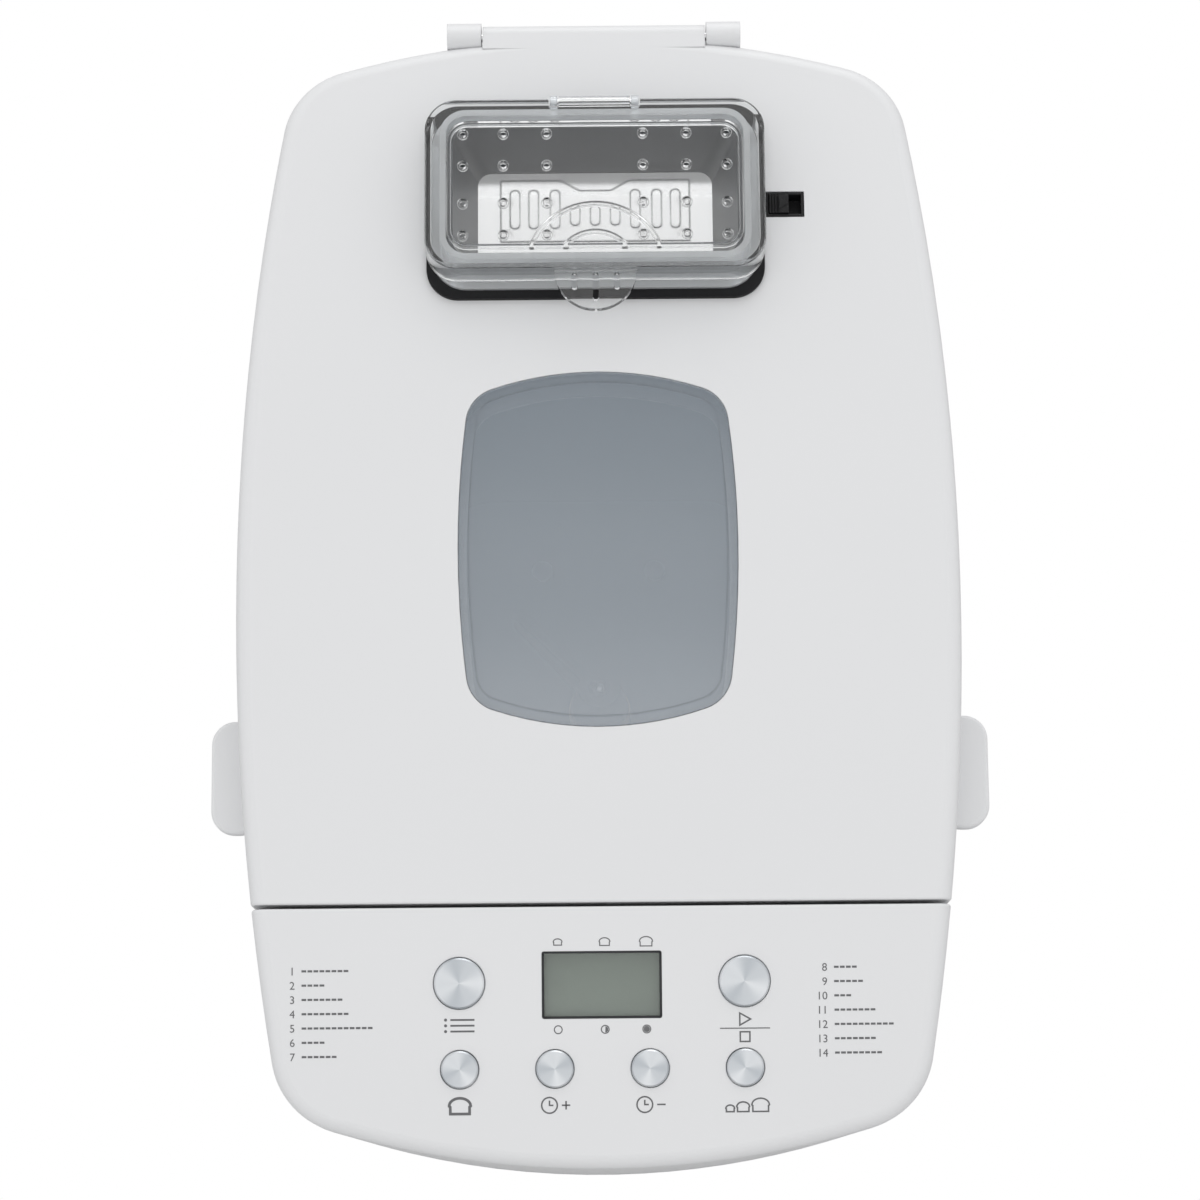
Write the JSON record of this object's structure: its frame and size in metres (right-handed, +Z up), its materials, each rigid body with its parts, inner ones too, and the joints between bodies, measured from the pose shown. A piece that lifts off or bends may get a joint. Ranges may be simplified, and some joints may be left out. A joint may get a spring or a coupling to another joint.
{
  "type": "bread machine",
  "caption": "Domestic bread machine with a sloping hinged lid, viewing window, fruit and nut dispenser, button panel, removable pan and belt-driven kneading blade.",
  "frame": {"origin": "middle of the footprint box on the table", "axes": "+Z up, front towards -Y, hinge towards +Y, +X to the right seen from the front"},
  "size_m": [0.2646, 0.3843, 0.3058],
  "materials": {
    "white_plastic": "satin gloss",
    "grey_plastic": "matt",
    "black_plastic": "matt",
    "dark_plastic": "satin",
    "clear_plastic": "polished",
    "smoked_plastic": "polished",
    "clear_glass": "polished",
    "black_rubber": "matt",
    "sheet_steel": "brushed",
    "bright_steel": "polished",
    "spun_metal": "spun",
    "nonstick": "non-stick coating",
    "bronze": "turned",
    "heater_sheath": "heat dulled",
    "circuit_board": "solder mask",
    "motor_steel": "zinc",
    "display": "blank liquid crystal",
    "belt_rubber": "matt"
  },
  "bodies": {
    "housing": {"body_shell": "white_plastic", "base_tray": "grey_plastic", "feet": "black_rubber", "cord_gland": "black_plastic", "control_panel": "white_plastic", "chamber_deck": "grey_plastic", "case_screws": "bright_steel", "hinge_pin": "bright_steel", "baking_chamber": "sheet_steel", "heating_element": "heater_sheath", "element_clips": "sheet_steel", "temperature_probe": "bright_steel", "pan_socket": "sheet_steel", "chassis_plate": "motor_steel", "bearing_housing": "motor_steel", "motor": "motor_steel", "motor_capacitor": "dark_plastic", "power_board": "circuit_board", "drive_belt": "belt_rubber", "control_board": "circuit_board", "tact_switches": "black_plastic", "lcd_module": "display", "lcd_lens": "clear_plastic"},
    "lid": {"lid_shell": "white_plastic", "lid_frame": "white_plastic", "lid_liner": "sheet_steel", "lid_screws": "bright_steel", "window_outer": "smoked_plastic", "window_seal": "black_rubber", "window_inner": "clear_glass", "dispenser_gasket": "black_rubber", "dispenser_rim": "clear_plastic", "dispenser_hopper": "dark_plastic", "dispenser_solenoid": "motor_steel", "cover_pin": "bright_steel", "release_tray": "black_plastic"},
    "cover": {"dispenser_cover": "clear_plastic"},
    "flap": {"dispenser_flap": "sheet_steel", "flap_pin": "bright_steel", "flap_crank": "bright_steel"},
    "plunger": {"solenoid_plunger": "bright_steel"},
    "release": {"release_slider": "black_plastic"},
    "pan": {"bread_pan": "nonstick", "pan_foot": "spun_metal", "pan_rivets": "spun_metal", "pan_bush": "bronze", "handle_lugs": "sheet_steel"},
    "handle": {"pan_handle": "bright_steel"},
    "blade": {"pan_shaft": "bright_steel", "kneading_blade": "nonstick"},
    "drive": {"drive_shaft": "bright_steel", "driven_pulley": "dark_plastic"},
    "rotor": {"motor_shaft": "bright_steel", "motor_pulley": "spun_metal"},
    "menu_key": {"menu_button": "spun_metal"},
    "start_key": {"start_button": "spun_metal"},
    "crust_key": {"crust_button": "spun_metal"},
    "time_up_key": {"time_up_button": "spun_metal"},
    "time_down_key": {"time_down_button": "spun_metal"},
    "size_key": {"size_button": "spun_metal"}
  },
  "joints": [
    {"name": "lid_hinge", "type": "hinge", "parent": "housing", "child": "lid", "pos_m": [0, 0.1871, 0.28855], "axis": [-1, 0, 0], "range_deg": [0, 95]},
    {"name": "cover_hinge", "type": "hinge", "parent": "lid", "child": "cover", "pos_m": [0, 0.15162, 0.30339], "axis": [-1, 0, 0], "range_deg": [0, 100]},
    {"name": "flap_hinge", "type": "hinge", "parent": "lid", "child": "flap", "pos_m": [0, 0.14955, 0.26748], "axis": [1, 0, 0], "range_deg": [0, 30], "stiffness_Nm_per_rad": 0.03, "springref_deg": -57.3},
    {"name": "plunger_slide", "type": "slide", "parent": "lid", "child": "plunger", "axis": [0, -0.9856, -0.1688], "range_m": [0, 0.0044]},
    {"name": "release_slide", "type": "slide", "parent": "lid", "child": "release", "axis": [1, 0, 0], "range_m": [0, 0.004], "stiffness_N_per_m": 150, "springref_m": -0.003},
    {"name": "pan_twist", "type": "hinge", "parent": "housing", "child": "pan", "pos_m": [0, 0.01962, 0.047], "axis": [0, 0, 1], "range_deg": [0, 6]},
    {"name": "handle_swing", "type": "hinge", "parent": "pan", "child": "handle", "pos_m": [0, 0.01962, 0.19], "axis": [1, 0, 0], "range_deg": [0, 24]},
    {"name": "drive_spin", "type": "hinge", "parent": "housing", "child": "drive", "pos_m": [0, 0.01962, 0.036], "axis": [0, 0, 1], "continuous": true},
    {"name": "motor_spin", "type": "hinge", "parent": "housing", "child": "rotor", "pos_m": [0, -0.12238, 0.036], "axis": [0, 0, 1], "continuous": true},
    {"name": "blade_spin", "type": "hinge", "parent": "pan", "child": "blade", "pos_m": [0, 0.01962, 0.0716], "axis": [0, 0, 1], "continuous": true},
    {"name": "menu_press", "type": "slide", "parent": "housing", "child": "menu_key", "axis": [0, 0.3339, -0.9426], "range_m": [0, 0.001], "stiffness_N_per_m": 300, "springref_m": -0.001},
    {"name": "start_press", "type": "slide", "parent": "housing", "child": "start_key", "axis": [0, 0.3339, -0.9426], "range_m": [0, 0.001], "stiffness_N_per_m": 300, "springref_m": -0.001},
    {"name": "crust_press", "type": "slide", "parent": "housing", "child": "crust_key", "axis": [0, 0.3339, -0.9426], "range_m": [0, 0.001], "stiffness_N_per_m": 300, "springref_m": -0.001},
    {"name": "time_up_press", "type": "slide", "parent": "housing", "child": "time_up_key", "axis": [0, 0.3339, -0.9426], "range_m": [0, 0.001], "stiffness_N_per_m": 300, "springref_m": -0.001},
    {"name": "time_down_press", "type": "slide", "parent": "housing", "child": "time_down_key", "axis": [0, 0.3339, -0.9426], "range_m": [0, 0.001], "stiffness_N_per_m": 300, "springref_m": -0.001},
    {"name": "size_press", "type": "slide", "parent": "housing", "child": "size_key", "axis": [0, 0.3339, -0.9426], "range_m": [0, 0.001], "stiffness_N_per_m": 300, "springref_m": -0.001}
  ],
  "couplings": [
    {"joint": "plunger_slide", "follows": "flap_hinge", "m_per_rad": 0.0084032},
    {"joint": "motor_spin", "follows": "drive_spin", "ratio": 4.4444},
    {"joint": "blade_spin", "follows": "drive_spin", "ratio": 1}
  ]
}
